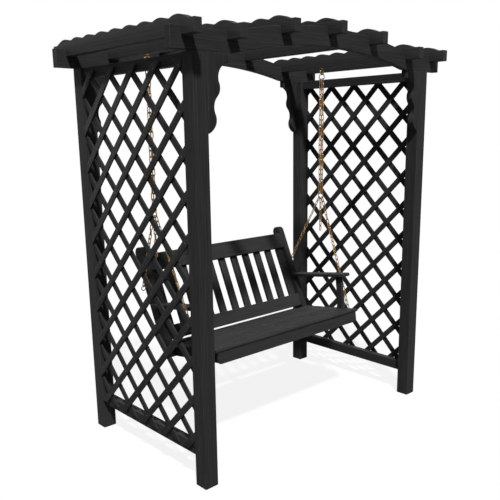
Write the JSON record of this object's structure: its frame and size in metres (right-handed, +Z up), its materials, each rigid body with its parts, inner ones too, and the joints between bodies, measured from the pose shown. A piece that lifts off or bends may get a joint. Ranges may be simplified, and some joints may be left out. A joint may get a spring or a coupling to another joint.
{
  "type": "garden arbor with porch swing",
  "caption": "Free-standing garden arbor with an arched slatted roof, lattice side panels and a bench swing hung on chains",
  "frame": {"origin": "centre of the footprint at ground level", "axes": "+X along the arched beams to the right, +Y from the open front to the rear, +Z up"},
  "size_m": [1.888, 1.166, 2.1448],
  "materials": {
    "stained_wood": "charcoal stain",
    "chain_steel": "yellow zinc plate",
    "hook_steel": "bright zinc plate"
  },
  "bodies": {
    "arbor": {"front_left_post": "stained_wood", "rear_left_post": "stained_wood", "front_right_post": "stained_wood", "rear_right_post": "stained_wood", "front_beam": "stained_wood", "rear_beam": "stained_wood", "roof_slat_1": "stained_wood", "roof_slat_2": "stained_wood", "roof_slat_3": "stained_wood", "roof_slat_4": "stained_wood", "roof_slat_5": "stained_wood", "roof_slat_6": "stained_wood", "roof_slat_7": "stained_wood", "front_left_bracket": "stained_wood", "rear_left_bracket": "stained_wood", "front_right_bracket": "stained_wood", "rear_right_bracket": "stained_wood", "left_panel_bottom_rail": "stained_wood", "left_panel_top_rail": "stained_wood", "right_panel_bottom_rail": "stained_wood", "right_panel_top_rail": "stained_wood", "left_inner_laths": "stained_wood", "left_outer_laths": "stained_wood", "right_inner_laths": "stained_wood", "right_outer_laths": "stained_wood", "screw_eyes": "chain_steel"},
    "hooks": {"swing_hooks": "hook_steel"},
    "left_chain": {"left_hanger_chain": "chain_steel"},
    "right_chain": {"right_hanger_chain": "chain_steel"},
    "rings": {"junction_rings": "chain_steel"},
    "bench": {"seat_slat_1": "stained_wood", "seat_slat_2": "stained_wood", "seat_slat_3": "stained_wood", "seat_slat_4": "stained_wood", "seat_slat_5": "stained_wood", "seat_slat_6": "stained_wood", "front_apron": "stained_wood", "left_seat_support": "stained_wood", "centre_seat_support": "stained_wood", "right_seat_support": "stained_wood", "rear_seat_rail": "stained_wood", "left_stile": "stained_wood", "right_stile": "stained_wood", "back_top_rail": "stained_wood", "back_bottom_rail": "stained_wood", "back_slats": "stained_wood", "left_arm": "stained_wood", "left_arm_post": "stained_wood", "right_arm": "stained_wood", "right_arm_post": "stained_wood", "bench_eye_bolts": "chain_steel", "left_front_chain": "chain_steel", "left_rear_chain": "chain_steel", "right_front_chain": "chain_steel", "right_rear_chain": "chain_steel"},
    "left_tail": {"left_chain_tail": "chain_steel"},
    "right_tail": {"right_chain_tail": "chain_steel"}
  },
  "joints": [
    {"name": "swing", "type": "hinge", "parent": "arbor", "child": "hooks", "pos_m": [0, 0.125, 1.9555], "axis": [1, 0, 0], "range_deg": [-20, 20]},
    {"name": "sway", "type": "hinge", "parent": "hooks", "child": "left_chain", "pos_m": [-0.636, 0.125, 1.92475], "axis": [0, 1, 0], "range_deg": [-5, 5]},
    {"name": "right_sway", "type": "hinge", "parent": "hooks", "child": "right_chain", "pos_m": [0.636, 0.125, 1.92475], "axis": [0, 1, 0], "range_deg": [-5, 5]},
    {"name": "level", "type": "hinge", "parent": "left_chain", "child": "rings", "pos_m": [-0.636, 0.125, 1.23265], "axis": [0, 1, 0], "range_deg": [-5, 5]},
    {"name": "rock", "type": "hinge", "parent": "rings", "child": "bench", "pos_m": [0, 0.125, 1.215], "axis": [1, 0, 0], "range_deg": [-5, 5]},
    {"name": "left_tail_swing", "type": "hinge", "parent": "rings", "child": "left_tail", "pos_m": [-0.636, 0.125, 1.195], "axis": [0, 1, 0], "range_deg": [-10, 10]},
    {"name": "right_tail_swing", "type": "hinge", "parent": "rings", "child": "right_tail", "pos_m": [0.636, 0.125, 1.195], "axis": [0, 1, 0], "range_deg": [-10, 10]}
  ],
  "couplings": [
    {"joint": "right_sway", "follows": "sway", "ratio": 1},
    {"joint": "level", "follows": "sway", "ratio": -1}
  ]
}
